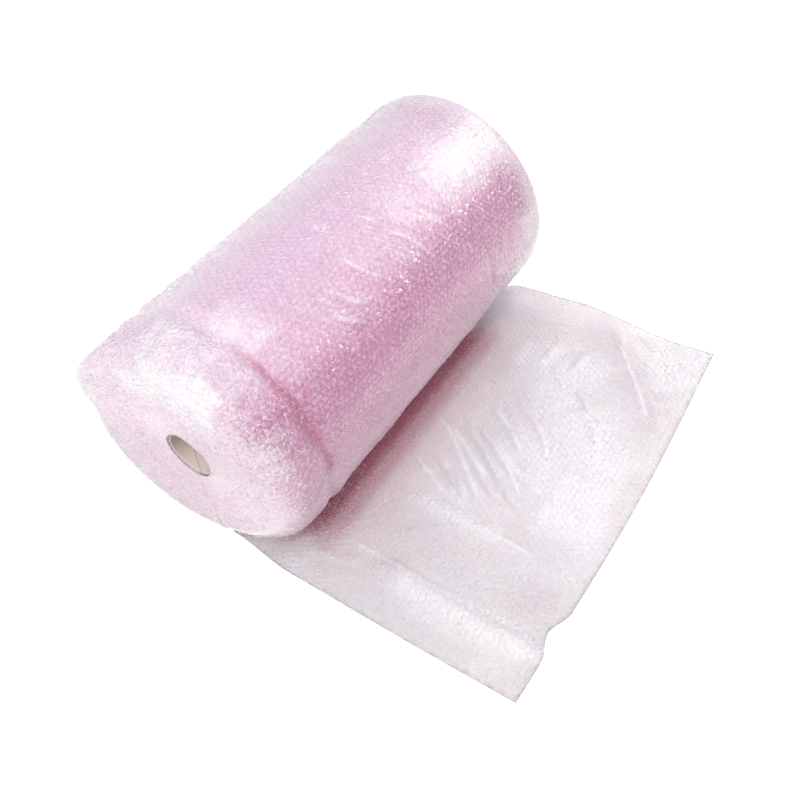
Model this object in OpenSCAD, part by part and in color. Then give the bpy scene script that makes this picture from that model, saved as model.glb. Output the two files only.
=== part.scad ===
// Bubble wrap roll: a web of bubble film wound on a cardboard core, its outer turn lying on the
// floor as a loose tail. The roll's axis runs along Y through the middle of the core's bore, the
// near end is at -Y, the tail runs out towards +X, and Z is up.

/* [Roll] */
// Width of the web, which is also the length of the roll
web_w = 750; // [450:10:1200]
// Outside diameter of the roll
roll_d = 420; // [300:5:600]
// Thickness of one wound turn, with its bubbles squeezed
turn_t = 2.7; // [2.4:0.1:5]
// Turns to each line of the spiral on the end faces
turns_to_a_line = 3; // [3:1:6]
// Depth of the spiral line
groove_depth = 3; // [1.5:0.1:4]
// Radius of the soft rim at the near end
near_rim_r = 32; // [12:1:45]
// Radius of the soft rim at the far end
far_rim_r = 26; // [12:1:45]
// How far an end face sinks between its rim and the core
dish = 8; // [2:0.5:15]
// How far the roll's own weight flattens it underneath
flat_sink = 1.2; // [0.6:0.1:2]

/* [Crease] */
// Distance of the creased ring from the near end
crease_in = 103; // [70:1:160]
// Depth of the creased ring
crease_depth = 7; // [2:0.5:12]
// Width of the creased ring
crease_w = 46; // [24:1:60]

/* [Core tube] */
// Diameter of the bore
bore_d = 80; // [50:1:120]
// Wall of the cardboard tube
core_wall = 4.5; // [3:0.5:8]
// How far each end of the tube lies inside the edge of the web
core_recess = 12; // [4:1:30]
// Clearance between the tube and the first turn
core_gap = 0.3; // [0.2:0.1:0.8]

/* [Tail] */
// Distance from the roll's axis to the cut edge
tail_reach = 562; // [400:2:900]
// Thickness of the film between the bubbles
film_t = 1.6; // [1.2:0.1:3]
// Height of the bubbles over the film
bubble_h = 2.8; // [1:0.1:5]
// Spacing of the bubbles along a row, with one bubble for about two small real ones
bubble_pitch = 17.5; // [16:0.5:40]
// Spacing of the rows of bubbles
row_pitch = 14; // [13:0.5:34]
// Height to which the far edge curls off the floor
curl_h = 32; // [5:1:50]
// Width of the strip that curls
curl_w = 140; // [80:5:200]

/* [Folds of the tail] */
// Height of the long fold that goes on from the roll's crease
fold_h = 9; // [3:0.5:15]
// Half width of the long fold
fold_half_w = 20; // [14:1:30]
// Height of the slanting wrinkles
wrinkle_h = 6; // [2:0.5:10]
// Half width of a slanting wrinkle
wrinkle_half_w = 15; // [12:1:24]
// Number of slanting wrinkles
wrinkles = 4; // [1:1:5]

/* [Hidden] */
$fn = 128;
roll_r = roll_d / 2;
bore_r = bore_d / 2;
core_r = bore_r + core_wall;
wind_r = core_r + core_gap;
tube_len = web_w - 2 * core_recess;
floor_z = flat_sink - roll_r;
spiral_pitch = turns_to_a_line * turn_t;
groove_half_w = 1.4;
groove_lip = 1;
mouth_bevel = 5;
spiral_turns = floor((roll_r - wind_r - mouth_bevel - groove_half_w) / spiral_pitch);
rim_steps = 7;
crease_steps = 6;
spare = 1;
crease_y = crease_in - web_w / 2;

// Where the tail starts: a tongue that tapers out from under the roll and fills the crease there,
// then bubbles once there is room for them
tongue_back = 12;
tongue_back_t = 2 * turn_t;
tongue_out = 24;
tongue_out_t = turn_t + 0.5;
crease_fill = 1.35 * crease_depth;
crease_fill_half_w = crease_w / 2 + 12;
bubbles_from = 44;
cols = 6 * round(web_w / bubble_pitch / 3);
rows = 3 * round((tail_reach - bubbles_from) / row_pitch / 3);
low_cols = cols / 3;
low_rows = rows / 3;
curl_from = 60;
curl_full = 170;
curl_fades = 300;

// Folds as [x, y, x, y, height, half width], from one end of the crest to the other
wrinkle_slope = -0.5;
wrinkle_step = 46;
wrinkle_run = 150;
wrinkle_start = [tail_reach * 0.42, web_w * 0.08];
long_fold = [tail_reach * 0.45, crease_y, tail_reach + fold_half_w, crease_y, fold_h, fold_half_w];
side_fold_y = crease_y + 118;
side_fold = [tail_reach * 0.54, side_fold_y, tail_reach - 12, side_fold_y, fold_h / 2, fold_half_w];
corner_fold = [tail_reach - 112, web_w * 0.39, tail_reach - 20, web_w * 0.22, fold_h * 0.8, fold_half_w];
slants = [
    for (k = [0 : wrinkles - 1])
        let (start = wrinkle_start + k * wrinkle_step * [0.45, -0.9])
        concat(
            start,
            start + wrinkle_run * [1, wrinkle_slope],
            [wrinkle_h, wrinkle_half_w]
        )
];
folds = concat([long_fold, side_fold, corner_fold], slants);

function smooth(t) =
    t <= 0 ? 0 :
    t >= 1 ? 1 :
    t * t * (3 - 2 * t);

// Distance of an end face from the middle of the roll, at radius r
function face_at(r, rim_r) =
    let (flat_r = roll_r - rim_r)
    r > flat_r
        ? web_w / 2 - rim_r + sqrt(max(0, rim_r * rim_r - pow(r - flat_r, 2)))
        : web_w / 2 - dish * (flat_r - r) / (flat_r - wind_r);

// One end face with its soft rim, as [radius, distance from the middle]
function end_face(rim_r) =
    concat(
        [[wind_r - spare - turn_t, face_at(wind_r - spare - turn_t, rim_r)]],
        [
            for (k = [rim_steps : -1 : 0])
                let (a = 90 * k / rim_steps)
                [roll_r - rim_r * (1 - cos(a)), web_w / 2 - rim_r * (1 - sin(a))]
        ]
    );

// The roll's section on one side of its axis, as [radius, place along the axis]
function section() =
    let (
        far = end_face(far_rim_r),
        near = end_face(near_rim_r),
        crease = [
            for (k = [crease_steps : -1 : -crease_steps])
                let (part = k / crease_steps)
                [roll_r - crease_depth * pow(cos(90 * part), 2), crease_y + crease_w / 2 * part]
        ]
    )
    concat(
        far,
        crease,
        [for (k = [len(near) - 1 : -1 : 0]) [near[k].x, -near[k].y]]
    );

// A half turn on the tail's side of the axis (+X) or on the other side
module half_turn(tail_side) {
    rotate([-90, 0, 0])
        rotate([0, 0, tail_side ? -90 : 90])
            rotate_extrude(angle = 180)
                children();
}

// The wound body. Its half beside the tail is half a turn's thickness smaller and higher, so
// that the outer turn runs off underneath with its full thickness
module wound_body() {
    half_turn(false)
        polygon(section());
    translate([0, 0, turn_t / 2])
        half_turn(true)
            translate([-turn_t / 2, 0])
                polygon(section());
}

// A groove's section at radius r, as [radius, place along the axis]. On the rim's slope it is open
// all the way up to the face at the next line, which the half turn beside the tail runs in to
function groove(r, at, rise) =
    concat(
        [[r, at - groove_depth], [r + groove_half_w, at + groove_lip]],
        rise > 0 ? [for (side = [1, -1]) [r + side * groove_half_w, at + groove_lip + rise]] : [],
        [[r - groove_half_w, at + groove_lip]]
    );

// One turn of the spiral groove on an end face, as two half circles that meet above and below
module spiral_turn(r, rim_r) {
    at = face_at(r, rim_r);
    rise = face_at(r - spiral_pitch, rim_r) - at;
    half_turn(false)
        polygon(groove(r, at, rise));
    translate([0, 0, spiral_pitch / 2])
        half_turn(true)
            polygon(groove(r - spiral_pitch / 2, at, rise));
}

module spiral_grooves() {
    for (k = [1 : spiral_turns]) {
        spiral_turn(roll_r - k * spiral_pitch, far_rim_r);
        mirror([0, 1, 0])
            spiral_turn(roll_r - k * spiral_pitch, near_rim_r);
    }
}

module mouth_bevels() {
    for (side = [0, 1])
        mirror([0, side, 0])
            translate([0, web_w / 2 - dish + spare, 0])
                rotate([90, 0, 0])
                    cylinder(r1 = wind_r + mouth_bevel + spare, r2 = wind_r, h = mouth_bevel + spare);
}

module roll() {
    difference() {
        wound_body();
        rotate([90, 0, 0])
            cylinder(r = wind_r, h = web_w + 2 * spare, center = true);
        mouth_bevels();
        spiral_grooves();
        translate([-roll_r, -web_w / 2 - spare, floor_z - roll_r])
            cube([2 * roll_r, web_w + 2 * spare, roll_r]);
    }
}

// Height of a fold's crest line over a place on the floor
function fold_at(p, f) =
    let (
        a = [f[0], f[1]],
        run = [f[2], f[3]] - a,
        t = max(0, min(1, (p - a) * run / (run * run))),
        off = norm(p - a - t * run)
    )
    f[4] * smooth(1 - off / f[5]);

function folds_at(p) = max([for (f = folds) fold_at(p, f)]);

// Height of the tail's underside over the floor
function lift_at(p) =
    let (
        along = smooth((p.x - curl_from) / (curl_full - curl_from))
            * smooth((tail_reach - p.x) / (tail_reach - curl_fades)),
        across = max(0, (p.y - web_w / 2 + curl_w) / curl_w)
    )
    curl_h * along * across * across;

// The cut edge wanders, and is drawn back where the long fold meets it
function cut_at(y) =
    tail_reach + 5 * cos(240 * y / web_w) - 12 * smooth(1 - abs(y - crease_y - 6) / 45);

function col_y(j) = web_w * (j / cols - 0.5);

function row_x(i, y) =
    i == 0 ? -tongue_back :
    i == 1 ? tongue_out :
    bubbles_from + (cut_at(y) - bubbles_from) * (i - 2) / (rows - 2);

function is_bubble(i, j) =
    (i + j) % 2 == 0 && i > 2 && i < rows && j > 0 && j < cols;

function place(i, j) = [row_x(i, col_y(j)), col_y(j)];

function fill_at(y) =
    crease_fill * max(0, min(1, 1.5 * (1 - abs(y - crease_y) / crease_fill_half_w)));

function thickness_at(i, j) =
    i == 0 ? tongue_back_t + fill_at(col_y(j)) :
    i == 1 ? tongue_out_t :
    film_t + folds_at(place(i, j)) + (is_bubble(i, j) ? bubble_h : 0);

// Corner numbers of the upper face, and of the lower one, which has every third line of it
function up(i, j) = i * (cols + 1) + j;
function low(i, j) = (rows + 1) * (cols + 1) + i * (low_cols + 1) + j;

// A strip of the tail's edge, between two corners of the lower face and four of the upper one
function wall(from, to, line) =
    concat(
        [for (k = [0 : 2]) [from, line[k], line[k + 1]]],
        [[from, line[3], to]]
    );

// The loose tail: a sheet whose upper face rises to a bubble at every second corner
module tail() {
    upper = [
        for (i = [0 : rows], j = [0 : cols])
            let (p = place(i, j))
            concat(p, [floor_z + lift_at(p) + thickness_at(i, j)])
    ];
    lower = [
        for (i = [0 : low_rows], j = [0 : low_cols])
            let (p = place(3 * i, 3 * j))
            concat(p, [floor_z + lift_at(p)])
    ];
    bubble_sides = [
        for (i = [0 : rows - 1], j = [0 : cols - 1])
            each (i + j) % 2 == 0
                ? [[up(i, j), up(i, j + 1), up(i + 1, j)], [up(i + 1, j), up(i, j + 1), up(i + 1, j + 1)]]
                : [[up(i, j), up(i, j + 1), up(i + 1, j + 1)], [up(i, j), up(i + 1, j + 1), up(i + 1, j)]]
    ];
    underside = [
        for (i = [0 : low_rows - 1], j = [0 : low_cols - 1])
            each [
                [low(i, j), low(i + 1, j), low(i + 1, j + 1)],
                [low(i, j), low(i + 1, j + 1), low(i, j + 1)]
            ]
    ];
    side_edges = [
        for (i = [0 : low_rows - 1])
            each concat(
                wall(low(i, 0), low(i + 1, 0), [for (k = [0 : 3]) up(3 * i + k, 0)]),
                wall(low(i + 1, low_cols), low(i, low_cols), [for (k = [3 : -1 : 0]) up(3 * i + k, cols)])
            )
    ];
    end_edges = [
        for (j = [0 : low_cols - 1])
            each concat(
                wall(low(low_rows, j), low(low_rows, j + 1), [for (k = [0 : 3]) up(rows, 3 * j + k)]),
                wall(low(0, j + 1), low(0, j), [for (k = [3 : -1 : 0]) up(0, 3 * j + k)])
            )
    ];
    polyhedron(concat(upper, lower), concat(bubble_sides, underside, side_edges, end_edges), convexity = 8);
}

module core_tube() {
    color("tan")
        rotate([90, 0, 0])
            difference() {
                cylinder(r = core_r, h = tube_len, center = true);
                cylinder(r = bore_r, h = tube_len + 2 * spare, center = true);
            }
}

module bubble_web() {
    color("pink")
        union() {
            roll();
            tail();
        }
}

core_tube();
bubble_web();
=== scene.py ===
import math

import bmesh
import bpy
import numpy as np
from mathutils import Matrix, Vector


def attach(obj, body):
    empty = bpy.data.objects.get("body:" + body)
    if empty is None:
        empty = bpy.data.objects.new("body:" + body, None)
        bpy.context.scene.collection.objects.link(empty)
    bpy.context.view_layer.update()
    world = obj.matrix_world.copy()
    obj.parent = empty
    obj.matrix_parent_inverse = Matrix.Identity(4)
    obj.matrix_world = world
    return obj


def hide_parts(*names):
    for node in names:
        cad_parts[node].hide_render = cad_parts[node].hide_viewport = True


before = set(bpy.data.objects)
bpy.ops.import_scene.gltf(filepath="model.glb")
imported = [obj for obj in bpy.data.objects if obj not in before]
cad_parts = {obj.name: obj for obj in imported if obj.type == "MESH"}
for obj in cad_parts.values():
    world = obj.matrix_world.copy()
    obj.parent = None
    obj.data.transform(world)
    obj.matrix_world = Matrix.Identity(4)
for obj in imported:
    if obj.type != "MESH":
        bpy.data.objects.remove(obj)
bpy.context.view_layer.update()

MM = 0.001

# Sizes, in millimetres: the web, the roll, one turn, the wound hole, the floor and the core
WEB_W = 750.0
ROLL_R = 210.0
TURN_T = 2.7
WIND_R = 44.8
FLOOR_Z = -208.8
BORE_R = 40.0
CORE_R = 44.5
TUBE_END = 363.0

# The crease round the roll near its near end, and a faint ring near its far end
CREASE_Y = -272.0
CREASE_DEPTH = 7.0
CREASE_HALF_W = 23.0
RING_Y = 199.5

# The ends: their distance from the middle at the rim and at the core, and the radii of the rims
NEAR_END = 370.0
FAR_END = 382.0
FACE_END = 365.5
SOFT_RIM = 58.0
TIGHT_RIM = 12.0
# Where the ends lean out, as (millimetres, degrees round the roll, spread in degrees)
NEAR_LEANS = [(18.0, 142, 23), (11.0, 208, 46)]
FAR_LEANS = [(6.0, 92, 45), (4.0, -5, 28)]
# How far the outer turn goes round a rim, as an angle, and how many turns' edges show inside it
REACH = 1.25
EDGE_TURNS = 61
# The wall of the mouth, down to the core, as (radius, distance from the middle)
MOUTH_WALL = [(45.8, 365.0), (45.0, 363.6), (44.75, 361.0), (44.7, 352.0)]

# The bubbles across the web and round the roll, and more of them than any piece has
ACROSS = 65
ROWS_ROUND = 140
PITCH = WEB_W / ACROSS
AROUND = 2 * math.pi * ROLL_R
ROW_GAP = AROUND / ROWS_ROUND
MOST_BUBBLES = 10000
# A bubble's rings of corners, from its rim inwards, as (radius, corners)
ROLL_RINGS = [(4.3, 6)]
TAIL_RINGS = [(4.6, 12), (2.7, 6)]
# How high the film beside a bubble, its rings and its middle stand when it is full
ROLL_HEIGHTS = [0.0, 1.0, 1.35]
TAIL_HEIGHTS = [0.0, 0.0, 2.2, 2.5]

# The tail: where it starts and ends, its rows, its thickness, its cut edge and its curled border
TAIL_FROM = 2.0
TAIL_REACH = 562.0
TAIL_ROWS = 59
TAIL_GAP = 9.45
SHEET_T = 1.1
CUT_WAVE = 8.0
NOTCH_DEPTH = 14.0
NOTCH_HALF_W = 45.0
CURL_W = 140.0
CURL_H = 32.0

# The seam of the core's inner ply: its angle at one place, and how far along it turns a radian
SEAM_Y = -341.0
SEAM_ANGLE = 3.99
SEAM_CLIMB = 26.1

# The room's light on the object, and the glow that shows the floor white
ROOM_LIGHT = 0.57
FLOOR_GLOW = 0.66


# Small helpers
def smooth(t):
    """From 0 to 1 as t goes from 0 to 1, flat at both ends."""
    t = np.clip(t, 0.0, 1.0)
    return t * t * (3 - 2 * t)


def waves(seed, count, shortest, longest):
    """A smooth seeded relief of about -1 to 1 over a plane, of count waves from shortest to longest,
    as a function of two coordinates."""
    rng = np.random.default_rng(seed)
    length = np.exp(rng.uniform(math.log(shortest), math.log(longest), count))
    angle = rng.uniform(0, 2 * math.pi, count)
    phase = rng.uniform(0, 2 * math.pi, count)
    size = length ** 0.6
    size /= math.sqrt((size ** 2).sum() / 2) * 2.2
    kx = 2 * math.pi / length * np.cos(angle)
    ky = 2 * math.pi / length * np.sin(angle)

    def relief(x, y):
        total = np.zeros(np.broadcast(x, y).shape)
        for a, b, c, d in zip(kx, ky, phase, size):
            total += d * np.sin(a * x + b * y + c)
        return total

    return relief


def ridge(x, y, points, height, half_w, taper=25.0):
    """Height of a rounded ridge along a line of points, thinning out at both ends."""
    points = np.asarray(points, float)
    best = np.full(np.shape(x), 1e9)
    along = np.zeros(np.shape(x))
    done = 0.0
    for a, b in zip(points[:-1], points[1:]):
        run = b - a
        length = math.hypot(*run)
        t = np.clip(((x - a[0]) * run[0] + (y - a[1]) * run[1]) / length ** 2, 0, 1)
        off = np.hypot(x - a[0] - t * run[0], y - a[1] - t * run[1])
        nearer = off < best
        best = np.where(nearer, off, best)
        along = np.where(nearer, done + t * length, along)
        done += length
    ends = smooth(along / taper + 0.15) * smooth((done - along) / taper + 0.15)
    return height * smooth(1 - best / half_w) * ends


def make_mesh(name, points_mm, faces, material, slot, **shades):
    """A smooth-shaded piece. shades are numbers at its points that its material reads by name."""
    mesh = bpy.data.meshes.new(name)
    mesh.from_pydata((np.asarray(points_mm) * MM).tolist(), [], faces)
    mesh.polygons.foreach_set("use_smooth", np.ones(len(mesh.polygons), bool))
    for key, values in shades.items():
        layer = mesh.attributes.new(key, "FLOAT", "POINT")
        layer.data.foreach_set("value", np.asarray(values, np.float32))
    shape = bmesh.new()
    shape.from_mesh(mesh)
    bmesh.ops.remove_doubles(shape, verts=shape.verts, dist=0.02 * MM)
    shape.to_mesh(mesh)
    shape.free()
    mesh.validate()
    mesh.materials.append(material)
    mesh.update()
    obj = bpy.data.objects.new(name, mesh)
    bpy.context.scene.collection.objects.link(obj)
    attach(obj, "root")
    return obj


def srgb(r, g, b):
    """A colour written from 0 to 255, in a shader's linear values."""
    def one(c):
        c /= 255
        return c / 12.92 if c <= 0.04045 else ((c + 0.055) / 1.055) ** 2.4
    return (one(r), one(g), one(b), 1.0)


# Materials
def new_material(name):
    material = bpy.data.materials.new(name)
    material.use_nodes = True
    tree = material.node_tree
    tree.nodes.clear()
    out = tree.nodes.new("ShaderNodeOutputMaterial")
    shader = tree.nodes.new("ShaderNodeBsdfPrincipled")
    tree.links.new(shader.outputs[0], out.inputs[0])
    return material, tree, shader


def node(tree, kind, inputs=None, **settings):
    """A shader node. inputs are values or links by number or name."""
    made = tree.nodes.new(kind)
    for key, value in settings.items():
        setattr(made, key, value)
    for key, value in (inputs or {}).items():
        if isinstance(value, bpy.types.NodeSocket):
            tree.links.new(value, made.inputs[key])
        else:
            made.inputs[key].default_value = value
    return made


def maths(tree, operation, a, b=0.0, c=None, clamp=False):
    inputs = {0: a, 1: b} if c is None else {0: a, 1: b, 2: c}
    return node(tree, "ShaderNodeMath", inputs, operation=operation, use_clamp=clamp).outputs[0]


def ranged(tree, value, low, high, at_low, at_high, kind="LINEAR"):
    """A number that goes from at_low to at_high while value goes from low to high."""
    return node(tree, "ShaderNodeMapRange", {0: value, 1: low, 2: high, 3: at_low, 4: at_high},
                interpolation_type=kind).outputs[0]


def noise(tree, place, scale, detail, roughness=0.5):
    return node(tree, "ShaderNodeTexNoise", {"Vector": place, "Scale": scale, "Detail": detail,
                                             "Roughness": roughness}).outputs[0]


def ramp(tree, factor, stops):
    made = node(tree, "ShaderNodeValToRGB", {0: factor})
    made.color_ramp.interpolation = "EASE"
    for _ in range(len(stops) - 2):
        made.color_ramp.elements.new(0.5)
    for element, (place, colour) in zip(made.color_ramp.elements, stops):
        element.position = place
        element.color = colour
    return made.outputs[0]


def mix(tree, factor, a, b):
    made = node(tree, "ShaderNodeMix", data_type="RGBA")
    for key, value in ((0, factor), (6, a), (7, b)):
        if isinstance(value, bpy.types.NodeSocket):
            tree.links.new(value, made.inputs[key])
        else:
            made.inputs[key].default_value = value
    return made.outputs[2]


def shade(tree, name):
    """One of the numbers that make_mesh stored at a piece's points."""
    made = node(tree, "ShaderNodeAttribute", attribute_name=name, attribute_type="GEOMETRY")
    return made.outputs["Fac"]


def crinkle(tree, shader, place, fine, folds, coarse, strength, distance):
    """Fine film crinkles as a bump: small cells, sharper folds between larger ones, and a slower
    unevenness. Returns where the sharpest folds catch the light, a mask for painted glints."""
    cells = node(tree, "ShaderNodeTexVoronoi", {"Vector": place, "Scale": fine, "Randomness": 1.0},
                 feature="F1", voronoi_dimensions="3D").outputs["Distance"]
    edges = node(tree, "ShaderNodeTexVoronoi", {"Vector": place, "Scale": folds, "Randomness": 1.0},
                 feature="DISTANCE_TO_EDGE", voronoi_dimensions="3D").outputs["Distance"]
    slow = noise(tree, place, coarse, 4.0, 0.6)
    small = maths(tree, "ADD", maths(tree, "MULTIPLY", cells, 0.5), maths(tree, "MULTIPLY", edges, 1.1))
    height = maths(tree, "ADD", small, maths(tree, "MULTIPLY", slow, 0.8))
    bump = node(tree, "ShaderNodeBump", {"Strength": strength, "Distance": distance, "Height": height})
    tree.links.new(bump.outputs[0], shader.inputs["Normal"])
    line = ranged(tree, edges, 0.0, 0.12, 1.0, 0.0)
    here = ranged(tree, slow, 0.46, 0.58, 0.0, 1.0)
    return maths(tree, "MULTIPLY", line, here)


def film_shader(shader, roughness, coat):
    shader.inputs["Roughness"].default_value = roughness
    shader.inputs["IOR"].default_value = 1.49
    shader.inputs["Coat Weight"].default_value = coat
    shader.inputs["Coat Roughness"].default_value = 0.09


def uneven(tree, name, broad):
    """A shade from the mesh, broken up by a noise where it is neither empty nor full."""
    amount = shade(tree, name)
    spread = maths(tree, "MULTIPLY", amount, maths(tree, "SUBTRACT", 1.0, amount))
    swing = maths(tree, "MULTIPLY", maths(tree, "SUBTRACT", broad, 0.5), 5.0)
    return maths(tree, "ADD", amount, maths(tree, "MULTIPLY", spread, swing), clamp=True)


def roll_film():
    """The wound film: lilac at the back, pink on top, deep pink low beside the tail, and pale where
    few layers lie over each other at the two rims and on the end faces. The deep pink beside the tail is
    partly painted shade, and the paler pink low down partly painted light from the floor. Its shades are
    tone, 0 between two bubbles and 1 on them, lower between turns' edges, which sets painted shade
    there, pale, where painted highlights whiten the film, deep, where painted shade darkens the crease
    and the low side, and face, from 0 at the outer turn's border to 1 further in on an end face."""
    material, tree, shader = new_material("wound_film")
    place = node(tree, "ShaderNodeTexCoord").outputs["Object"]
    xyz = node(tree, "ShaderNodeSeparateXYZ", {0: place}).outputs
    angle = maths(tree, "ARCTAN2", xyz[2], xyz[0])
    turn = maths(tree, "MULTIPLY_ADD", angle, 0.5 / math.pi, 0.5)
    # colour round the roll: partly the film's own colour, partly painted shade on the deep pink side
    # beside the tail and painted floor light low down just above it
    around = ramp(tree, turn, [
        (0.00, srgb(224, 206, 228)),
        (0.25, srgb(214, 176, 194)),
        (0.44, srgb(226, 186, 205)),
        (0.51, srgb(211, 155, 181)),
        (0.55, srgb(203, 134, 170)),
        (0.59, srgb(209, 143, 178)),
        (0.63, srgb(218, 174, 201)),
        (0.71, srgb(221, 188, 215)),
        (0.80, srgb(224, 203, 223)),
        (1.00, srgb(224, 206, 228)),
    ])
    # the rims, as a distance from the middle of the roll along its axis
    edge = maths(tree, "ABSOLUTE", maths(tree, "ADD", xyz[1], 0.002))
    on_end = ranged(tree, edge, 0.26, 0.34, 0.0, 0.45)
    strength = ranged(tree, turn, 0.58, 0.66, 1.0, 0.85)
    folds = crinkle(tree, shader, place, fine=300.0, folds=120.0, coarse=180.0,
                    strength=maths(tree, "ADD", strength, on_end), distance=0.0034)
    # painted shade: darker pink between the bubbles and between the turns' edges, where tone is low
    painted_valley_shade = maths(tree, "SUBTRACT", 1.0, shade(tree, "tone"))
    colour = mix(tree, painted_valley_shade, around, srgb(172, 84, 134))
    broad = noise(tree, place, 9.0, 3.0)
    colour = mix(tree, maths(tree, "MULTIPLY", broad, 0.35), colour, srgb(238, 214, 234))
    rim = ranged(tree, edge, 0.322, 0.378, 0.0, 0.7, "SMOOTHSTEP")
    colour = mix(tree, rim, colour, srgb(238, 222, 232))
    # the end faces, by their radius
    flat = node(tree, "ShaderNodeCombineXYZ", {0: xyz[0], 2: xyz[2]}).outputs[0]
    radius = node(tree, "ShaderNodeVectorMath", {0: flat}, operation="LENGTH").outputs["Value"]
    by_radius = ramp(tree, maths(tree, "MULTIPLY", radius, 1 / 0.21), [
        (0.20, srgb(236, 210, 224)),
        (0.45, srgb(239, 212, 227)),
        (0.72, srgb(238, 216, 228)),
        (0.88, srgb(232, 220, 228)),
        (1.00, srgb(224, 222, 226)),
    ])
    ragged = noise(tree, place, 48.0, 4.0, 0.65)
    by_radius = mix(tree, maths(tree, "MULTIPLY", painted_valley_shade, 0.6), by_radius, srgb(224, 170, 200))
    colour = mix(tree, uneven(tree, "face", ragged), colour, by_radius)
    # painted shade: darker pink down the crease and along the low side beside the tail
    colour = mix(tree, uneven(tree, "deep", ragged), colour, srgb(190, 100, 138))
    # painted highlights: the film whitened where lamps are reflected, on the roll, along its wrinkles'
    # crests and on the near face
    colour = mix(tree, uneven(tree, "pale", ragged), colour, srgb(247, 242, 247))
    # painted glints: the sharpest crinkle folds whitened, most on the lower side and at the ends
    painted_glints = ranged(tree, turn, 0.60, 0.66, 0.42, 0.14)
    painted_glints = maths(tree, "MULTIPLY", folds, maths(tree, "ADD", painted_glints, on_end), clamp=True)
    colour = mix(tree, painted_glints, colour, srgb(252, 240, 248))
    tree.links.new(colour, shader.inputs["Base Color"])
    film_shader(shader, roughness=0.28, coat=0.9)
    shader.inputs["Subsurface Weight"].default_value = 0.35
    shader.inputs["Subsurface Radius"].default_value = (1.0, 0.55, 0.8)
    shader.inputs["Subsurface Scale"].default_value = 0.012
    return material


def tail_film():
    """The single sheet of the tail: clear film, grey where it lies slack, with a painted sheen where it
    is white, and a painted shadow of the roll with painted pink light from it beside the nip. Its shades
    are tone, 1 on the bubbles, pale, where the painted sheen whitens the film, and deep, where it has a
    blush of pink."""
    material, tree, shader = new_material("tail_film")
    place = node(tree, "ShaderNodeTexCoord").outputs["Object"]
    xyz = node(tree, "ShaderNodeSeparateXYZ", {0: place}).outputs
    # crinkled most along the near border
    near = ranged(tree, xyz[1], -0.24, -0.14, 0.8, 0.55)
    folds = crinkle(tree, shader, place, fine=380.0, folds=140.0, coarse=170.0,
                    strength=near, distance=0.0026)
    broad = noise(tree, place, 7.0, 3.0, 0.55)
    tint = ranged(tree, broad, 0.42, 0.62, 0.0, 0.6)
    grey = mix(tree, tint, srgb(238, 234, 238), srgb(241, 231, 236))
    # painted shadow of the roll beside the nip, with painted pink light bounced from the roll, fading
    # away from it and towards the borders
    from_roll = ranged(tree, xyz[0], 0.10, 0.30, 0.0, 1.0)
    nip_shadow_and_bounce = ramp(tree, from_roll, [
        (0.00, srgb(162, 84, 108)),
        (0.14, srgb(185, 112, 130)),
        (0.28, srgb(221, 181, 191)),
        (0.48, srgb(244, 231, 235)),
        (1.00, srgb(247, 243, 245)),
    ])
    here = ranged(tree, from_roll, 0.45, 1.0, 1.0, 0.0, "SMOOTHSTEP")
    across = maths(tree, "ABSOLUTE", maths(tree, "ADD", xyz[1], 0.02))
    off_border = ranged(tree, across, 0.225, 0.350, 1.0, 0.0, "SMOOTHSTEP")
    colour = mix(tree, maths(tree, "MULTIPLY", here, off_border), grey, nip_shadow_and_bounce)
    colour = mix(tree, uneven(tree, "deep", broad), colour, srgb(232, 222, 228))
    colour = mix(tree, maths(tree, "MULTIPLY", shade(tree, "tone"), 0.5), colour, srgb(250, 248, 250))
    ragged = noise(tree, place, 60.0, 4.0, 0.65)
    # painted sheen: the film whitened where the lamps' reflections fall and on the wrinkles' crests
    colour = mix(tree, uneven(tree, "pale", ragged), colour, srgb(251, 249, 252))
    # painted glints on the sharpest folds, most along the near border
    colour = mix(tree, maths(tree, "MULTIPLY", folds, maths(tree, "MULTIPLY", near, 0.9)), colour,
                 srgb(253, 252, 253))
    tree.links.new(colour, shader.inputs["Base Color"])
    film_shader(shader, roughness=0.26, coat=0.8)
    shader.inputs["Transmission Weight"].default_value = 0.65
    return material


def board():
    """Grey-brown board, wound in a spiral, with fine fibres, a darker ply edge and painted shade on one
    side of the bore.
    """
    material, tree, shader = new_material("core_board")
    place = node(tree, "ShaderNodeTexCoord").outputs["Object"]
    fibres = node(tree, "ShaderNodeMapping", {"Vector": place, "Scale": (420.0, 60.0, 420.0),
                                              "Rotation": (0.0, 0.0, 0.5)}).outputs[0]
    fine = noise(tree, fibres, 1.0, 6.0, 0.7)
    broad = noise(tree, place, 28.0, 3.0)
    colour = mix(tree, fine, srgb(222, 206, 200), srgb(246, 234, 228))
    colour = mix(tree, maths(tree, "MULTIPLY", broad, 0.4), colour, srgb(196, 174, 166))
    tone = shade(tree, "tone")
    colour = mix(tree, tone, colour, srgb(96, 84, 74))
    tree.links.new(colour, shader.inputs["Base Color"])
    bump = node(tree, "ShaderNodeBump", {"Strength": 0.35, "Distance": 0.0006, "Height": fine})
    tree.links.new(bump.outputs[0], shader.inputs["Normal"])
    shader.inputs["Roughness"].default_value = 0.85
    return material


# The wound roll
def bell(degrees, centre, width):
    """1 at one place round the roll, falling to 0 on both sides of it."""
    return np.exp(-(((degrees - centre + 180) % 360 - 180) / width) ** 2)


def turned(s):
    """The angle of a place on the roll: s from 0 to 1 once round, from underneath by way of the back."""
    return -math.pi / 2 - 2 * math.pi * s


def degrees_up(s):
    """The same place in degrees above the tail's side, from 270 down to -90."""
    return 270 - 360 * s


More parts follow.
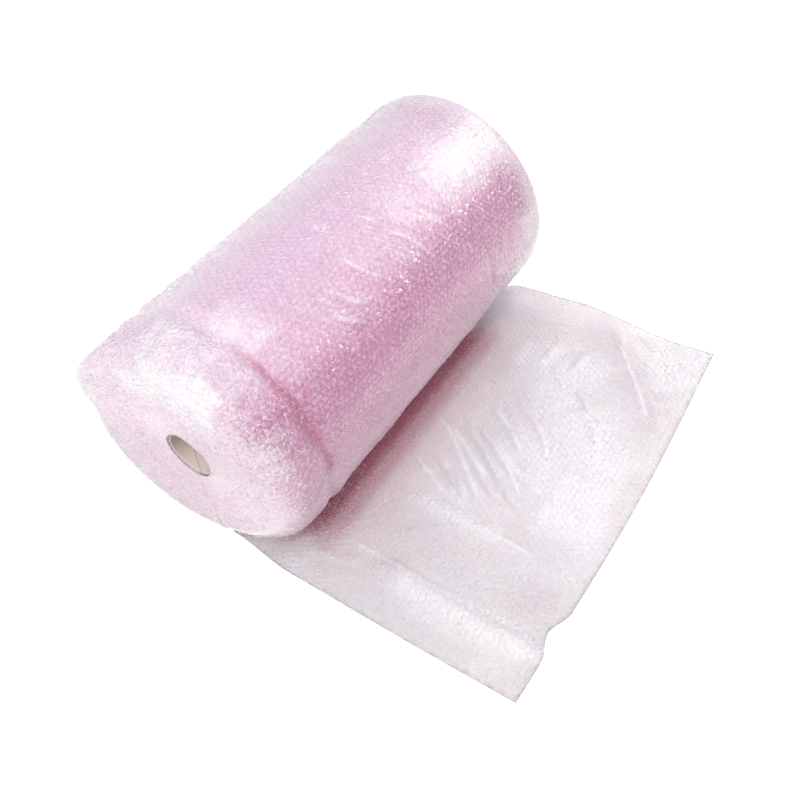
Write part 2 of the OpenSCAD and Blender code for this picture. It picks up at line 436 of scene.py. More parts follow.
def ends_at(s, side):
    """(distance of an end's outermost edge from the middle, radius of its rim) at a place round the
    roll. The near end's rim is soft and wide, but tight at the back and below, where it leans out."""
    around = np.degrees(turned(s))
    end, leans = (FAR_END, FAR_LEANS) if side > 0 else (NEAR_END, NEAR_LEANS)
    for out, at, spread in leans:
        end = end + out * bell(around, at, spread)
    if side > 0:
        return end, TIGHT_RIM + 0 * s
    tight = np.maximum(bell(around, 144, 34), np.minimum(1, 1.25 * bell(around, 214, 56)))
    return end, SOFT_RIM - (SOFT_RIM - TIGHT_RIM) * tight


def wound_point(s, radius_less, y):
    """A place on the roll, at a depth under its surface. The half beside the tail has a radius half
    a turn smaller and a centre half a turn higher, which makes the winding a spiral."""
    theta = turned(s)
    tail_side = s > 0.5
    radius = np.where(tail_side, ROLL_R - TURN_T / 2, ROLL_R) - radius_less
    lift = np.where(tail_side, TURN_T / 2, 0.0)
    x = radius * np.cos(theta)
    z = radius * np.sin(theta) + lift
    return np.stack([x, y + 0 * x, np.maximum(z, FLOOR_Z)], -1)


def along_axis(s, v):
    """Where a place of the web lies on the outer turn, measured along it from the middle of the roll.
    v is the place across the web, whose half width covers the straight part and the rim."""
    near_end, near_r = ends_at(s, -1)
    far_end, far_r = ends_at(s, 1)
    reach = np.where(v < 0, near_end - near_r * (1 - REACH), far_end - far_r * (1 - REACH))
    return v / (WEB_W / 2) * reach


def skin_point(s, v, out):
    """A place on the outer turn, which goes round the two soft rims; out is its relief."""
    near_end, near_r = ends_at(s, -1)
    far_end, far_r = ends_at(s, 1)
    w = np.abs(along_axis(s, v))
    straight = np.where(v < 0, near_end - near_r, far_end - far_r)
    r = np.where(v < 0, near_r, far_r)
    round_it = np.maximum(0, w - straight) / r
    y = np.where(round_it > 0, straight + (r + out) * np.sin(round_it), w) * np.sign(v)
    less = np.where(round_it > 0, r - (r + out) * np.cos(round_it), -out)
    return wound_point(s, less, y)


def border_less(s, side):
    """Depth of the outer turn's border under its own surface, where the next turns' edges show."""
    return ends_at(s, side)[1] * (1 - math.cos(REACH))


def face_at(less, s, side):
    """Distance of an end face from the middle, at a depth under the outer turn."""
    end, rim_r = ends_at(s, side)
    arc = end - rim_r + np.sqrt(np.maximum(0, rim_r ** 2 - np.maximum(0, rim_r - less) ** 2))
    t = np.clip((less - rim_r) / (ROLL_R - WIND_R - rim_r), 0, 1)
    dished = end + (FACE_END - end) * smooth(t)
    return np.where(less < rim_r, arc, dished)


def strokes(x, y, lines):
    """The strongest of some soft strokes at a place. lines lists (points, strength, half width)."""
    return np.max([ridge(x, y, points, strength, half_w) for points, strength, half_w in lines], axis=0)


# Film wrinkles of the roll, as lines of (degrees up, place along the axis), a height and a half width
ROLL_WRINKLES = [
    ([(59, 129), (51, 142), (42, 162)], 1.0, 6),
    ([(57, 92), (50, 110), (43, 131), (34, 150)], 1.2, 6),
    ([(57, 72), (50, 83), (43, 95)], 1.0, 5),
    ([(55, 43), (49, 60), (43, 69), (36, 78), (32, 86)], 1.3, 6),
    ([(48, 44), (41, 50), (34, 69)], 1.0, 5),
    ([(60, 108), (55, 116), (47, 128), (38, 146)], 0.8, 5),
    ([(60, 176), (55, 181), (49, 190)], 0.9, 5),
    ([(50, 20), (44, 32), (37, 48)], 0.9, 5),
    ([(56, -116), (50, -102), (44, -93), (39, -73)], 1.4, 6),
    ([(56, -132), (50, -123), (46, -119)], 1.0, 5),
    ([(49, -136), (41, -124), (34, -96)], 1.2, 6),
    ([(53, -157), (47, -150), (43, -141)], 0.8, 5),
    ([(62, -60), (57, -48), (52, -42), (43, -30)], 0.9, 5),
    ([(60, 199), (53, 201), (46, 201), (40, 205)], -1.1, 6),
    ([(70, 30), (64, 42), (58, 50)], 0.8, 5),
]

# Painted highlights: where the top film of the roll is painted white, as lines of the same kind with a
# strength
ROLL_PAINTED_HIGHLIGHTS = [
    ([(60, 60), (57, 120), (55, 185)], 0.2, 66),
    ([(55, 170), (54, 378)], 0.7, 92),
    ([(54, 240), (54, 378)], 0.9, 84),
    ([(82, -256), (68, -246), (54, -242)], 0.5, 62),
    ([(100, -340), (60, -330)], 0.5, 110),
    ([(34, -346), (8, -346)], 0.35, 64),
    ([(28, 380), (24, 420)], 0.5, 180),
    ([(96, -384), (72, -380), (50, -378)], 0.9, 70),
    ([(66, -320), (46, -325)], 0.35, 60),
    ([(108, -300), (112, -100), (108, 60), (112, 350)], 0.25, 60),
    ([(12, 350), (-10, 345)], 0.4, 70),
]
# Painted shade: where it is painted darker pink, down the crease where it is drawn in and along the low
# side beside the tail, in the same way
ROLL_PAINTED_SHADE = [
    ([(66, -274), (46, -274), (25, -273), (-8, -272)], 0.75, 10),
    ([(46, -278), (24, -280), (6, -279)], 0.35, 34),
    ([(24, -230), (24, 60)], 0.25, 50),
]
# Small puckers that run out of the crease, as the degrees where they lie
CREASE_PUCKERS = range(12, 48, 3)


def on_roll(points):
    """Turns (degrees up, place along the axis) into millimetres round the roll and along it."""
    return [((270 - a) / 360 * AROUND, b) for a, b in points]


def roll_relief(s, v):
    """Everything on the outer turn that is larger than a bubble, at a place along it."""
    u = s * AROUND
    angle = degrees_up(s)
    lumps = waves(3, 30, 60, 170)(u, v) + 0.55 * waves(4, 30, 22, 50)(u, v)
    # the crease, deepest low beside the tail, a little wavy, with a sharp fold along its middle
    wander = 2.2 * np.sin(u / 41) + 1.6 * np.sin(u / 17 + 1)
    low = np.exp(-((angle - 27) / 42) ** 2)
    off = v - CREASE_Y - wander
    trough = np.where(np.abs(off) < CREASE_HALF_W, np.cos(np.pi / 2 * off / CREASE_HALF_W) ** 2, 0)
    crease = CREASE_DEPTH * (0.5 + 0.5 * low) * trough
    fold = 3.0 * low * np.exp(-np.abs(off + 4) / 3.5)
    lip = 1.4 * np.exp(-((off - 24) / 10) ** 2) + 1.2 * np.exp(-((off + 28) / 12) ** 2)
    # a second faint ring near the far end
    shown = smooth((80 - angle) / 20) * smooth((angle + 20) / 20)
    ring = 1.3 * np.exp(-((v - RING_Y - wander / 2) / 4.5) ** 2) * shown
    out = lumps - crease - fold + lip - ring
    for points, height, half_w in ROLL_WRINKLES:
        out = out + ridge(u, v, on_roll(points), 1.15 * height, half_w, 14)
    for k, at in enumerate(CREASE_PUCKERS):
        line = on_roll([(at, CREASE_Y + 3), (at + 0.6 * (-1) ** k, CREASE_Y + 26 + 5 * (k % 3))])
        out = out + ridge(u, v, line, 1.8, 4.5, 12)
    return out


def lattice(rows, gap):
    """Rows of bubbles across the web, every other row shifted by half a bubble, as (row, u, v)."""
    places = []
    for i in range(rows):
        shift = 0.5 if i % 2 == 0 else 1.0
        for k in range(ACROSS if i % 2 == 0 else ACROSS - 1):
            places.append((i, (i + 0.5) * gap, -WEB_W / 2 + PITCH * (k + shift)))
    return places


def welded(corner_table, faces, outlines):
    """Joins the corners that neighbouring cells share, to a fiftieth of a millimetre."""
    keys = np.round(corner_table[:, :3] * 50).astype(np.int64)
    _, first, index = np.unique(keys, axis=0, return_index=True, return_inverse=True)
    index = index.reshape(-1).tolist()
    renamed = [[tuple(index[k] for k in f) for f in group] for group in (faces, outlines)]
    return corner_table[first], renamed[0], renamed[1]


def corner_offsets(gap):
    """The six corners of a cell, from its middle."""
    return np.array([(2 * gap / 3, 0), (gap / 3, PITCH / 2), (-gap / 3, PITCH / 2),
                     (-2 * gap / 3, 0), (-gap / 3, -PITCH / 2), (gap / 3, -PITCH / 2)])


def cells(rows, gap, rings, stray, seed):
    """The hexagon cells of the bubbles, in rows that are a gap apart. rings lists (radius, corners in
    the ring), and stray is how far a bubble may be off its place. Returns for each corner its place
    (u, v), a tag (0 film, 1.. rings inward, last the middle), its bubble's number and its offset from
    that bubble's middle, and then the faces and the outlines of the cells, as corner numbers."""
    length = rows * gap
    corners = corner_offsets(gap)
    rng = np.random.default_rng(seed)
    corner_table, faces, outlines = [], [], []

    def add(u, v, tag, owner=0, du=0.0, dv=0.0):
        corner_table.append((min(max(u, 0.0), length), v, tag, owner, du, dv))
        return len(corner_table) - 1

    for owner, (i, cu, cv) in enumerate(lattice(rows, gap)):
        outline = []
        for du, dv in corners:
            u = cu + du
            if i == 0 and du < 0:
                u = 0.0
            if i == rows - 1 and du > 0:
                u = length
            outline.append(add(u, cv + dv, 0))
        outlines.append(tuple(outline))
        cu, cv = np.array([cu, cv]) + rng.normal(0, stray, 2)
        line = outline
        for level, (radius, number) in enumerate(rings):
            inner = []
            for k in range(number):
                a = 2 * math.pi * k / number
                du, dv = radius * math.cos(a), radius * math.sin(a)
                inner.append(add(cu + du, cv + dv, level + 1, owner, du, dv))
            join(line, inner, faces)
            line = inner
        middle = add(cu, cv, len(rings) + 1, owner)
        for k in range(len(line)):
            faces.append((line[k], line[(k + 1) % len(line)], middle))
    # the half cells left at both borders beside the shifted rows
    for i in range(1, rows, 2):
        cu = (i + 0.5) * gap
        for side in (-1, 1):
            edge = side * WEB_W / 2
            hi = length if i == rows - 1 else cu + 2 * gap / 3
            inner_hi = length if i == rows - 1 else cu + gap / 3
            quad = [add(cu - 2 * gap / 3, edge, 0), add(cu - gap / 3, edge - side * PITCH / 2, 0),
                    add(inner_hi, edge - side * PITCH / 2, 0), add(hi, edge, 0)]
            outlines.append(tuple(quad[::-1] if side < 0 else quad))
            faces.append(outlines[-1])
    return np.array(corner_table), faces, outlines


def join(outer, inner, faces):
    """Triangles between two rings of 6 or 12 corners that start at the same angle."""
    n, m = len(outer), len(inner)
    if n == m:
        for k in range(n):
            a, b = outer[k], outer[(k + 1) % n]
            c, d = inner[k], inner[(k + 1) % n]
            faces.append((a, b, d))
            faces.append((a, d, c))
    elif m == 2 * n:
        for k in range(n):
            a, b = outer[k], outer[(k + 1) % n]
            c, d, e = inner[2 * k], inner[2 * k + 1], inner[(2 * k + 2) % m]
            faces.append((a, d, c))
            faces.append((a, b, d))
            faces.append((b, e, d))
    else:
        for k in range(m):
            a, b, c = outer[2 * k], outer[2 * k + 1], outer[(2 * k + 2) % n]
            d, e = inner[k], inner[(k + 1) % m]
            faces.append((a, b, d))
            faces.append((b, e, d))
            faces.append((b, c, e))


def build_outer_turn(material):
    """The outer turn with its bubbles, from one soft rim over the roll to the other."""
    length = ROWS_ROUND * ROW_GAP
    table, faces, _ = welded(*cells(ROWS_ROUND, ROW_GAP, ROLL_RINGS, stray=0.5, seed=12))
    u, v, tags = table[:, 0], table[:, 1], table[:, 2].astype(int)
    rng = np.random.default_rng(11)
    jitter = rng.normal(0, 1, len(u))
    # each bubble is filled and tilted a little differently
    owner = table[:, 3].astype(int)
    fill = rng.uniform(0.45, 1, MOST_BUBBLES)[owner]
    tilt_u, tilt_v = rng.normal(0, 0.09, (2, MOST_BUBBLES))[:, owner]
    s = u / length
    w = along_axis(s, v)
    bubble = np.array(ROLL_HEIGHTS)[tags] * fill
    full = 0.6 + 0.4 * smooth(0.5 + 1.2 * waves(9, 20, 40, 120)(u, w))
    border = smooth((WEB_W / 2 - np.abs(v)) / 24)
    tilt = (tilt_u * table[:, 4] + tilt_v * table[:, 5]) * (tags > 0)
    out = (roll_relief(s, w) + 0.9 * bubble * full + tilt + 0.25 * jitter) * border
    # painted shade between the bubbles, whose rows show most in the deep pink band, where the light only
    # grazes the film
    angle = degrees_up(s)
    band = np.exp(-((angle - 25) / 13) ** 4)
    rows = 0.5 - 0.5 * np.cos(2 * math.pi * u / ROW_GAP)
    gaps = 1 - np.clip(bubble, 0, 1) * (1 - 0.7 * band * (1 - rows))
    contrast = (0.26 + 0.8 * band) * (1 - 0.6 * smooth((np.abs(w) - 330) / 50))
    tone = 1 - np.clip(gaps + 0.15 * jitter, 0, 1) * contrast
    # painted highlights along the wrinkles' crests
    wrinkles = [(on_roll(points), 0.5, 4.5) for points, height, _ in ROLL_WRINKLES if height > 0]
    pale = np.maximum(strokes(u, w, [(on_roll(p), k, half_w) for p, k, half_w in ROLL_PAINTED_HIGHLIGHTS]),
                      strokes(u, w, wrinkles))
    # painted shade in the crease and on the low side
    deep = strokes(u, w, [(on_roll(p), k, half_w) for p, k, half_w in ROLL_PAINTED_SHADE])
    faces = [f[::-1] for f in faces]
    return make_mesh("outer_turn", skin_point(s, v, out), faces, material, "bubble_film",
                     tone=tone, pale=pale, deep=deep, face=0 * s)


# Curved wrinkles on the near face under the core, as (radius, first degree, last degree)
FACE_ARCS = [(88, -86, -38), (99, -80, -44), (111, -88, -30), (124, -70, -36)]
# A painted highlight: where the near face is painted white, as lines of (x, z), a strength and a half
# width
FACE_PAINTED_HIGHLIGHT = [
    ([(-70, 150), (0, 152), (70, 138), (112, 104)], 0.75, 66),
    ([(-60, 62), (10, 74), (50, 60)], 0.35, 44),
]


def build_turn_edges(name, side, material):
    """The edges of the wound turns on one end face, from the outer turn's border to the core."""
    steps = 360
    s = np.arange(steps + 1) / steps
    theta = turned(s)
    seed = 30 if side < 0 else 35
    rng = np.random.default_rng(seed)
    stand, slow = waves(seed + 1, 26, 14, 60), waves(seed + 2, 20, 60, 160)
    dents = waves(seed + 3, 60, 9, 20)
    turns = np.arange(1, EDGE_TURNS + 1)
    each = rng.normal(0, 1, len(turns) + 2)
    rows, shades = [], {"tone": [], "pale": [], "deep": [], "face": []}

    def add(points, tone, face):
        rows.append(points)
        shades["tone"].append(np.broadcast_to(tone, s.shape))
        # the near face's painted highlight
        shades["pale"].append(strokes(points[:, 0], points[:, 2], FACE_PAINTED_HIGHLIGHT) if side < 0 else 0 * s)
        shades["deep"].append(0 * s)
        shades["face"].append(np.broadcast_to(face, s.shape))

    border = border_less(s, side)
    for m in turns:
        for peak in (0.0, 1.0):
            # every edge stays at its own depth, and ends where the outer turn's border covers it
            less = np.maximum(TURN_T * (m + peak / 2), border)
            turn = less / TURN_T + s
            px, pz = (ROLL_R - less) * np.cos(theta), (ROLL_R - less) * np.sin(theta)
            height = 0.9 * slow(px, pz) + 0.5 * stand(turn * 9.0, 2 * math.pi * s * 30)
            height = height + 0.3 * np.interp(turn, np.arange(len(each)) + 1, each) + 0.8 * peak - 0.4
            # near the rim the bubbles of the turns underneath show through
            height = height + 1.5 * dents(px, pz) * smooth((150 - less) / 60)
            if side < 0:
                angle = np.degrees(np.arctan2(pz, px))
                for radius, lowest, highest in FACE_ARCS:
                    spread = smooth((angle - lowest) / 12) * smooth((highest - angle) / 12)
                    height = height + 1.3 * spread * np.exp(-((np.hypot(px, pz) - radius) / 2.6) ** 2)
            shown = smooth((less - border) / 12)
            inner_y, border_y = face_at(less + TURN_T / 2 * (s > 0.5), s, side), face_at(less, s, side)
            y = inner_y * shown + border_y * (1 - shown)
            # tone is lower between two turns' edges, where the film's colour gets painted shade
            tone = 0.85 - 0.15 * (1 - peak) * shown
            face = smooth((less - border - 4) / 46)
            add(wound_point(s, less, side * (y + height * shown)), tone, face)
    for radius, y in MOUTH_WALL:
        add(np.stack([radius * np.cos(theta), side * y + 0 * s, radius * np.sin(theta)], -1), 0.9, 1.0)
    width = steps + 1
    faces = []
    for k in range(len(rows) - 1):
        for j in range(steps):
            a, b = k * width + j, k * width + j + 1
            c, d = a + width, b + width
            faces.append((a, b, d, c) if side > 0 else (a, c, d, b))
    return make_mesh(name, np.concatenate(rows), faces, material, "bubble_film",
                     **{key: np.concatenate(values) for key, values in shades.items()})


# The loose tail
def cut_at(y):
    """Where the tail is cut off: a slow wave, with a notch in line with the crease."""
    notch = NOTCH_DEPTH * smooth(1 - np.abs(y - CREASE_Y - 6) / NOTCH_HALF_W)
    return TAIL_REACH + 1 + CUT_WAVE * np.cos(np.radians(240 * y / WEB_W)) - notch


# Folds and wrinkles of the tail, as lines on the floor with a height, a half width and a taper
TAIL_FOLDS = [
    ([(253, -285), (296, -292), (335, -296), (398, -302), (453, -305), (508, -303), (590, -298)],
     8.0, 26, 60),
    ([(255, -150), (303, -152), (360, -160), (424, -168), (478, -175), (555, -178)], 4.0, 20, 50),
    ([(380, 348), (410, 320), (443, 290), (463, 262), (484, 238), (510, 206), (530, 180), (543, 160)],
     3.6, 18, 45),
    ([(238, 23), (281, -3), (317, -31), (344, -54), (372, -76)], 4.0, 11, 35),
    ([(266, 28), (309, 2), (357, -31), (390, -46)], 4.2, 11, 35),
    ([(355, -16), (391, -37), (427, -58)], 3.4, 10, 30),
    ([(222, -59), (254, -76), (267, -86), (300, -108)], 3.0, 10, 30),
    ([(272, -79), (297, -98), (324, -126)], 3.0, 10, 25),
    ([(283, -40), (317, -64), (357, -90), (372, -96)], 3.6, 10, 30),
    ([(360, -65), (395, -89), (420, -104)], 3.0, 10, 30),
    ([(262, 80), (300, 58), (330, 36), (352, 14)], 3.0, 11, 30),
    ([(290, 120), (330, 96), (362, 70)], 2.6, 11, 30),
    ([(375, 190), (405, 166), (437, 138), (462, 112)], 4.4, 14, 35),
    ([(398, 148), (426, 122), (448, 104), (470, 80)], 3.0, 12, 30),
    ([(356, 284), (351, 254), (345, 214)], 3.4, 12, 25),
    ([(292, 282), (289, 250), (283, 206)], 4.0, 13, 30),
    ([(430, 362), (452, 346), (470, 318)], 3.0, 12, 25),
    ([(500, 340), (530, 322), (561, 302)], 2.5, 11, 25),
    ([(254, -227), (275, -218), (288, -202)], 2.2, 10, 20),
    ([(318, -318), (327, -306), (333, -290)], 2.2, 10, 15),
    ([(360, -357), (384, -361)], 2.2, 10, 15),
    ([(120, -330), (180, -318), (240, -300)], 2.6, 15, 40),
    ([(130, 150), (190, 128), (240, 104)], 2.2, 14, 40),
]

# Painted sheen: where the tail's film is painted white and its bubbles well filled, as lines on the
# floor, a strength and a half width
TAIL_SHEEN_ZONES = [
    ([(300, 235), (390, 130)], 0.85, 80),
    ([(345, 245), (420, 225)], 0.8, 64),
    ([(400, 150), (470, 60), (525, 20)], 1.0, 96),
    ([(430, -20), (545, -20)], 1.0, 110),
    ([(430, -78), (555, -78)], 1.0, 66),
    ([(380, 60), (440, -60)], 0.7, 70),
    ([(250, 275), (243, 190)], 0.9, 30),
    ([(292, 285), (288, 200)], 1.0, 44),
    ([(475, 365), (545, 262)], 1.0, 84),
    ([(535, 365), (556, 300)], 0.8, 60),
    ([(300, -300), (420, -308), (548, -312)], 0.95, 54),
    ([(240, -152), (330, -160), (420, -158)], 0.8, 26),
    ([(165, 250), (190, 292)], 0.45, 60),
    ([(105, -322), (170, -352)], 0.55, 50),
    ([(280, -112), (335, -140)], 0.7, 18),
    ([(460, -355), (540, -345)], 0.4, 40),
]
# Where it is slack, with a blush of pink, in the same way
TAIL_BLUSH = [
    ([(335, 372), (420, 292), (480, 222), (545, 145)], 0.9, 60),
    ([(232, 275), (220, 180), (190, 120)], 0.5, 60),
    ([(400, -128), (530, -128)], 0.5, 34),
    ([(470, -225), (545, -222)], 0.7, 50),
    ([(200, -190), (300, -200)], 0.4, 70),
]
# Thin bright wrinkles, which are only as high as a bubble
TAIL_CREASES = [
    [(400, 322), (425, 290), (452, 258), (480, 222), (517, 170)],
    [(180, 22), (230, -12), (281, -58), (340, -110)],
    [(222, 4), (262, -22), (330, -62)],
    [(262, 30), (309, 0), (357, -34), (398, -74)],
    [(300, 20), (352, -18), (402, -52)],
    [(190, -78), (236, -100), (288, -128)],
    [(262, 84), (300, 58), (330, 34), (356, 10)],
    [(330, 100), (372, 60), (402, 14)],
    [(375, 192), (405, 160), (437, 118), (462, 80)],
    [(310, 230), (330, 200), (356, 176)],
    [(200, -277), (262, -279), (330, -282), (430, -282), (540, -281)],
    [(250, -150), (300, -156), (345, -168)],
    [(365, -150), (420, -160), (470, -163)],
]


def tail_lift(x, y):
    """How far the tail's far border curls up off the floor, most of all close to the roll."""
    along = smooth((x - 60) / 110) * smooth((505 - x) / 215)
    across = np.clip((y - WEB_W / 2 + CURL_W) / CURL_W, 0, None)
    return CURL_H * along * across ** 2


def tail_relief(x, y):
    """The folds, creases and lumps of the tail."""
    rises = [ridge(x, y, points, height, half_w, taper) for points, height, half_w, taper in TAIL_FOLDS]
    creases = strokes(x, y, [(points, 2.0, 6.5) for points in TAIL_CREASES])
    clear = smooth((x - 70) / 90)
    broad = 0.9 * (0.5 + 0.5 * waves(41, 30, 35, 120)(x, y))
    lumps = broad + 0.5 * np.clip(waves(42, 30, 14, 34)(x, y), 0, None)
    return np.max(rises, axis=0) + creases + clear * lumps * 1.5


def room_under_roll(x):
    """Height between the floor and the roll beside the nip."""
    inside = np.minimum(np.abs(x), ROLL_R - TURN_T / 2)
    return TURN_T / 2 - np.sqrt((ROLL_R - TURN_T / 2) ** 2 - inside ** 2) - FLOOR_Z


def build_tail(material):
    """The tail: a bubbled film on a flat one, joined along its border."""
    length = TAIL_ROWS * TAIL_GAP
    table, faces, outlines = welded(*cells(TAIL_ROWS, TAIL_GAP, TAIL_RINGS, stray=0.4, seed=53))
    tags = table[:, 2].astype(int)
    # the rows follow the wandering cut more and more towards it, and the web spreads a little there
    part = table[:, 0] / length
    y = table[:, 1] * (1 + 0.014 * smooth(part * 1.2) * (table[:, 1] < 0))
    # its near corner is drawn in under the soft rim of the roll
    y = y + 14 * (1 - smooth(part * TAIL_REACH / 140)) * smooth((-240 - y) / 135)
    wander = (cut_at(y) - TAIL_REACH) * smooth(part / 0.8) * part
    x = TAIL_FROM + (TAIL_REACH - TAIL_FROM) * part + wander
    rng = np.random.default_rng(51)
    room = np.where(x < ROLL_R, room_under_roll(x), 200.0)
    pale = strokes(x, y, TAIL_SHEEN_ZONES)
    deep = strokes(x, y, TAIL_BLUSH)
    # the bubbles stand up where the film is taut, and have lost their air elsewhere
    filled = np.clip(0.28 + 0.7 * pale + 0.2 * waves(52, 24, 20, 70)(x, y) - 0.2 * deep, 0.14, 1)
    each = rng.uniform(0.4, 1.0, MOST_BUBBLES)[table[:, 3].astype(int)]
    high = np.array(TAIL_HEIGHTS)[tags] * filled * each + (tags > 1) * rng.normal(0, 0.16, len(x))
    base = tail_relief(x, y)
    top = np.minimum(SHEET_T + base + high, np.maximum(SHEET_T * 0.5, room - 0.9))
    lift = tail_lift(x, y)
    upper = np.column_stack([x, y, FLOOR_Z + lift + top])
    tone = np.clip(high / TAIL_HEIGHTS[-1], 0, 1)
    # painted highlights along the crests of the thin wrinkles
    pale = np.maximum(pale, strokes(x, y, [(points, 1.0, 8) for points in TAIL_CREASES]))
    # the flat film underneath follows the folds, and joins the bubbled one along the border
    film = np.flatnonzero(tags == 0)
    number = {int(k): len(upper) + n for n, k in enumerate(film)}
    under = upper[film].copy()
    below = FLOOR_Z + lift[film] + np.maximum(0, base[film] - 1.0) * 0.9
    under[:, 2] = np.maximum(np.minimum(below, under[:, 2] - 0.25), FLOOR_Z)
    lower_faces = [tuple(number[k] for k in reversed(outline)) for outline in outlines]
    sides = {(a, b) for outline in outlines for a, b in zip(outline, outline[1:] + outline[:1])}
    walls = [(b, a, number[a], number[b]) for a, b in sorted(sides) if (b, a) not in sides]
    points = np.concatenate([upper, under])
    shades = {name: np.concatenate([values, values[film]])
              for name, values in (("tone", tone), ("pale", pale), ("deep", deep))}
    return make_mesh("loose_tail", points, faces + lower_faces + walls, material, "bubble_film",
                     **shades)


# The core
def build_core(material):
    """A spiral-wound board tube: a low step along the seam of its inner ply, worn rims."""
    around = 216
    theta = 2 * math.pi * np.arange(around) / around
    rng = np.random.default_rng(61)
    points, tone = [], []
    mouth = np.linspace(322.0, TUBE_END - 1.2, 34)
    ys = np.concatenate([-mouth[::-1], np.linspace(-314, 314, 40), mouth])
    wobble = waves(62, 16, 30, 90)

    def ring(radius, y, shade):
        points.append(np.column_stack([radius * np.cos(theta), np.broadcast_to(y, theta.shape),
                                       radius * np.sin(theta)]))
        tone.append(np.broadcast_to(shade, theta.shape))

    ragged = 0.35 * np.sin(7 * theta) + 0.3 * rng.normal(0, 1, around)
    for y in ys:
        phase = (theta + (y - SEAM_Y) / SEAM_CLIMB - SEAM_ANGLE) % (2 * math.pi)
        step = 0.55 * np.exp(-phase / 0.9) * (phase > 0.02)
        seam = np.exp(-((phase - 0.03) / 0.03) ** 2)
        # painted shade down one side of the bore
        painted_wall_shade = 0.5 * bell(np.degrees(theta), 160, 50)
        ring(BORE_R + 0.05 - step * 0.8 + 0.08 * wobble(theta * 40, y), y, painted_wall_shade + 0.65 * seam)
    for radius, inset in ((BORE_R + 0.7, 0.3), (BORE_R + 2.2, 0.0), (CORE_R - 0.7, 0.2)):
        ring(radius, TUBE_END - inset - 0.4 + 0.3 * ragged, 0.2)
    for y in (TUBE_END - 1.4, 0.0, -TUBE_END + 1.4):
        ring(CORE_R, y, 0.0)
    for radius, inset in ((CORE_R - 0.7, 0.2), (BORE_R + 2.2, 0.0), (BORE_R + 0.7, 0.3)):
        ring(radius, -TUBE_END + inset + 0.4 + 0.3 * ragged, 0.45)
    rows = len(points)
    faces = []
    for k in range(rows):
        for j in range(around):
            a, b = k * around + j, k * around + (j + 1) % around
            n = (k + 1) % rows
            c, d = n * around + j, n * around + (j + 1) % around
            faces.append((a, b, d, c))
    return make_mesh("core_board", np.concatenate(points), faces, material, "cardboard",
                     tone=np.concatenate(tone))


# The pieces, and the nodes that they stand for
wound_material = roll_film()
tail_material = tail_film()
outer_turn = build_outer_turn(wound_material)
near_edges = build_turn_edges("turn_edges_near", -1, wound_material)
far_edges = build_turn_edges("turn_edges_far", 1, wound_material)
tail = build_tail(tail_material)
core = build_core(board())
for piece in (outer_turn, near_edges, far_edges, tail):
    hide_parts("bubble_web")
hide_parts("core_tube")


# Floor, light and camera
def seen_rays(tree):
    """1 for what the camera sees, also in gloss and through film, and 0 for all other light."""
    rays = node(tree, "ShaderNodeLightPath").outputs
    mirrored = maths(tree, "MAXIMUM", rays["Is Glossy Ray"], rays["Is Transmission Ray"])
    return maths(tree, "MAXIMUM", rays["Is Camera Ray"], mirrored)


floor_material, tree, shader = new_material("floor_white")
shader.inputs["Base Color"].default_value = (0.80, 0.80, 0.80, 1)
shader.inputs["Roughness"].default_value = 0.9
shader.inputs["Specular IOR Level"].default_value = 0.1
strength = maths(tree, "MULTIPLY", seen_rays(tree), FLOOR_GLOW)
glow = node(tree, "ShaderNodeEmission", {"Color": (1, 1, 1, 1), "Strength": strength})
both = node(tree, "ShaderNodeAddShader", {0: shader.outputs[0], 1: glow.outputs[0]})
tree.links.new(both.outputs[0], next(n for n in tree.nodes if n.type == "OUTPUT_MATERIAL").inputs[0])
bpy.ops.mesh.primitive_plane_add(size=60, location=(0, 0, (FLOOR_Z - 0.15) * MM))
ground = bpy.context.active_object
ground.name = "ground"
ground.data.materials.append(floor_material)

world = bpy.data.worlds.new("studio")
bpy.context.scene.world = world
world.use_nodes = True
tree = world.node_tree
tree.nodes.clear()
level = maths(tree, "MULTIPLY_ADD", seen_rays(tree), 1 - ROOM_LIGHT, ROOM_LIGHT)
background = node(tree, "ShaderNodeBackground", {"Color": (1, 1, 1, 1), "Strength": level})
tree.links.new(background.outputs[0], node(tree, "ShaderNodeOutputWorld").inputs[0])


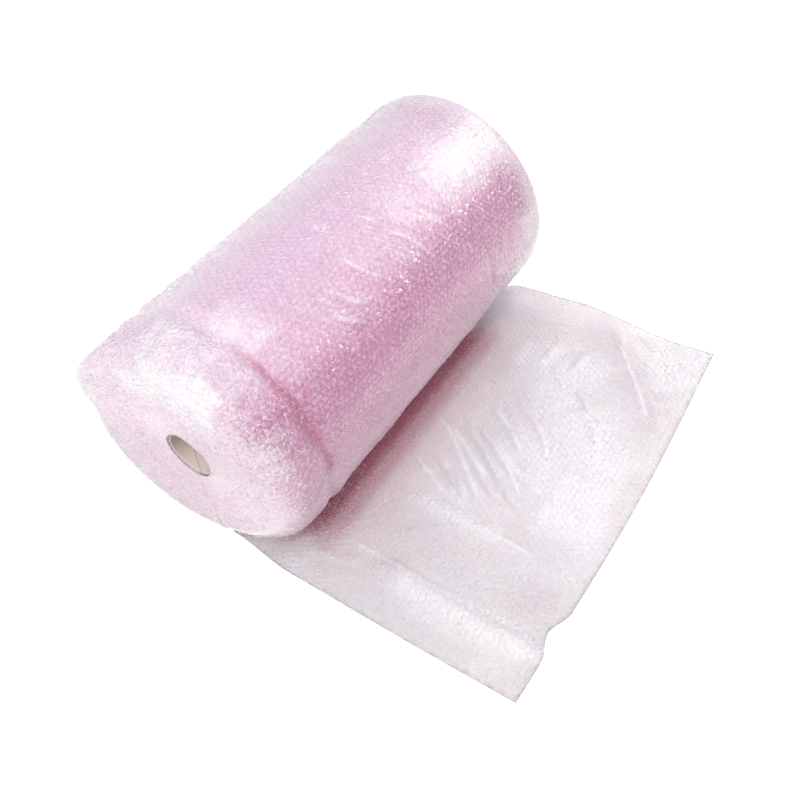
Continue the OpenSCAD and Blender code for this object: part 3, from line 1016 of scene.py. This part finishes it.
def area_light(name, place, target, size, watts):
    light = bpy.data.lights.new(name, "AREA")
    light.shape = "RECTANGLE"
    light.size, light.size_y = size
    light.energy = watts
    obj = bpy.data.objects.new(name, light)
    obj.location = place
    obj.rotation_euler = (Vector(target) - Vector(place)).to_track_quat("-Z", "Y").to_euler()
    bpy.context.scene.collection.objects.link(obj)


area_light("window_far", (0.80, 1.70, 1.60), (0.30, 0.20, 0.0), (1.5, 1.1), 16.5)
area_light("window_near", (0.20, -2.10, 1.55), (0.0, -0.35, 0.0), (1.5, 1.1), 29)
area_light("fill_right", (1.30, -1.70, 1.30), (0.30, -0.30, -0.20), (1.2, 1.0), 8.5)
area_light("key_left", (-1.4, -0.5, 1.9), (0, -0.1, 0), (1.6, 1.6), 5)
# small bright lamps for the glints on the film, too weak to add much light
area_light("glint_back", (-0.65, 1.6, 2.1), (0, 0, 0.1), (0.3, 0.3), 2.5)
area_light("glint_right", (2.0, 1.5, 0.9), (0.1, 0, 0), (0.35, 0.35), 6)
area_light("glint_over", (1.0, 0.5, 1.8), (0, -0.2, 0.1), (0.35, 0.35), 2.5)

# The camera of the photograph, fitted to the roll and its tail in widths of the web
camera_data = bpy.data.cameras.new("photo_view")
camera_data.sensor_width = 36
camera_data.lens = 36.397
camera = bpy.data.objects.new("photo_view", camera_data)
bpy.context.scene.collection.objects.link(camera)
azimuth, elevation, roll_angle = (math.radians(a) for a in (43.5163, 45.9489, -12.911))
back = Vector((math.sin(azimuth) * math.cos(elevation), -math.cos(azimuth) * math.cos(elevation),
               math.sin(elevation)))
right = (-back).cross(Vector((0, 0, 1))).normalized()
up = right.cross(-back)
c, s = math.cos(roll_angle), math.sin(roll_angle)
right, up = c * right + s * up, c * up - s * right
facing = Matrix((right, up, back)).transposed().to_4x4()
camera_place = Vector((1.10225, -1.00296, 1.19409)) * (WEB_W * MM)
camera.matrix_world = Matrix.Translation(camera_place) @ facing
bpy.context.scene.camera = camera
bpy.context.scene.view_settings.view_transform = "Standard"
